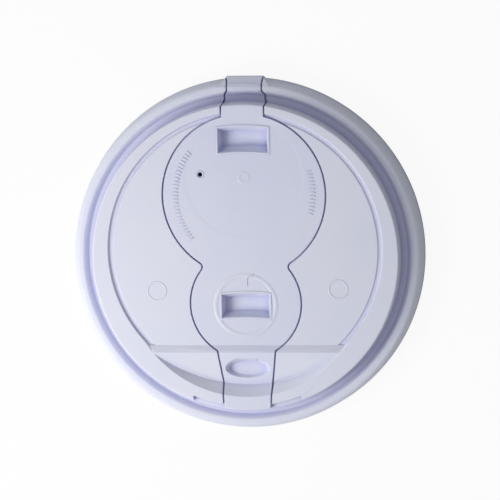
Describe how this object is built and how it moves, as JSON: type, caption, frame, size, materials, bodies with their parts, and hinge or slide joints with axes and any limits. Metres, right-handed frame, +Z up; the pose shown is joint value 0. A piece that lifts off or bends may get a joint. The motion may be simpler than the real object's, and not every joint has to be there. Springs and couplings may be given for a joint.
{
  "type": "flip-flap cup lid",
  "caption": "Round moulded takeaway cup lid with a snap rim, raised ledge, drinking deck with an oval hole, and an hourglass flip flap hinged at the back of the rim.",
  "frame": {"origin": "on the lid's axis, in the plane of the skirt's foot that meets the table", "axes": "+Z up through the lid's top, +Y towards the flap's hinge at the back, -Y towards the drinking hole"},
  "size_m": [0.0944, 0.0953, 0.0128],
  "materials": {
    "lid_plastic": "semi-gloss moulded polypropylene, pale lavender white",
    "flap_plastic": "semi-gloss moulded polypropylene, pale lavender white"
  },
  "bodies": {
    "lid": {"lid_shell": "lid_plastic"},
    "flap": {"flip_flap": "flap_plastic"}
  },
  "joints": [
    {"name": "flap_hinge", "type": "hinge", "parent": "lid", "child": "flap", "pos_m": [0, 0.0482, 0.0056], "axis": [-1, 0, 0], "range_deg": [0, 170]}
  ]
}
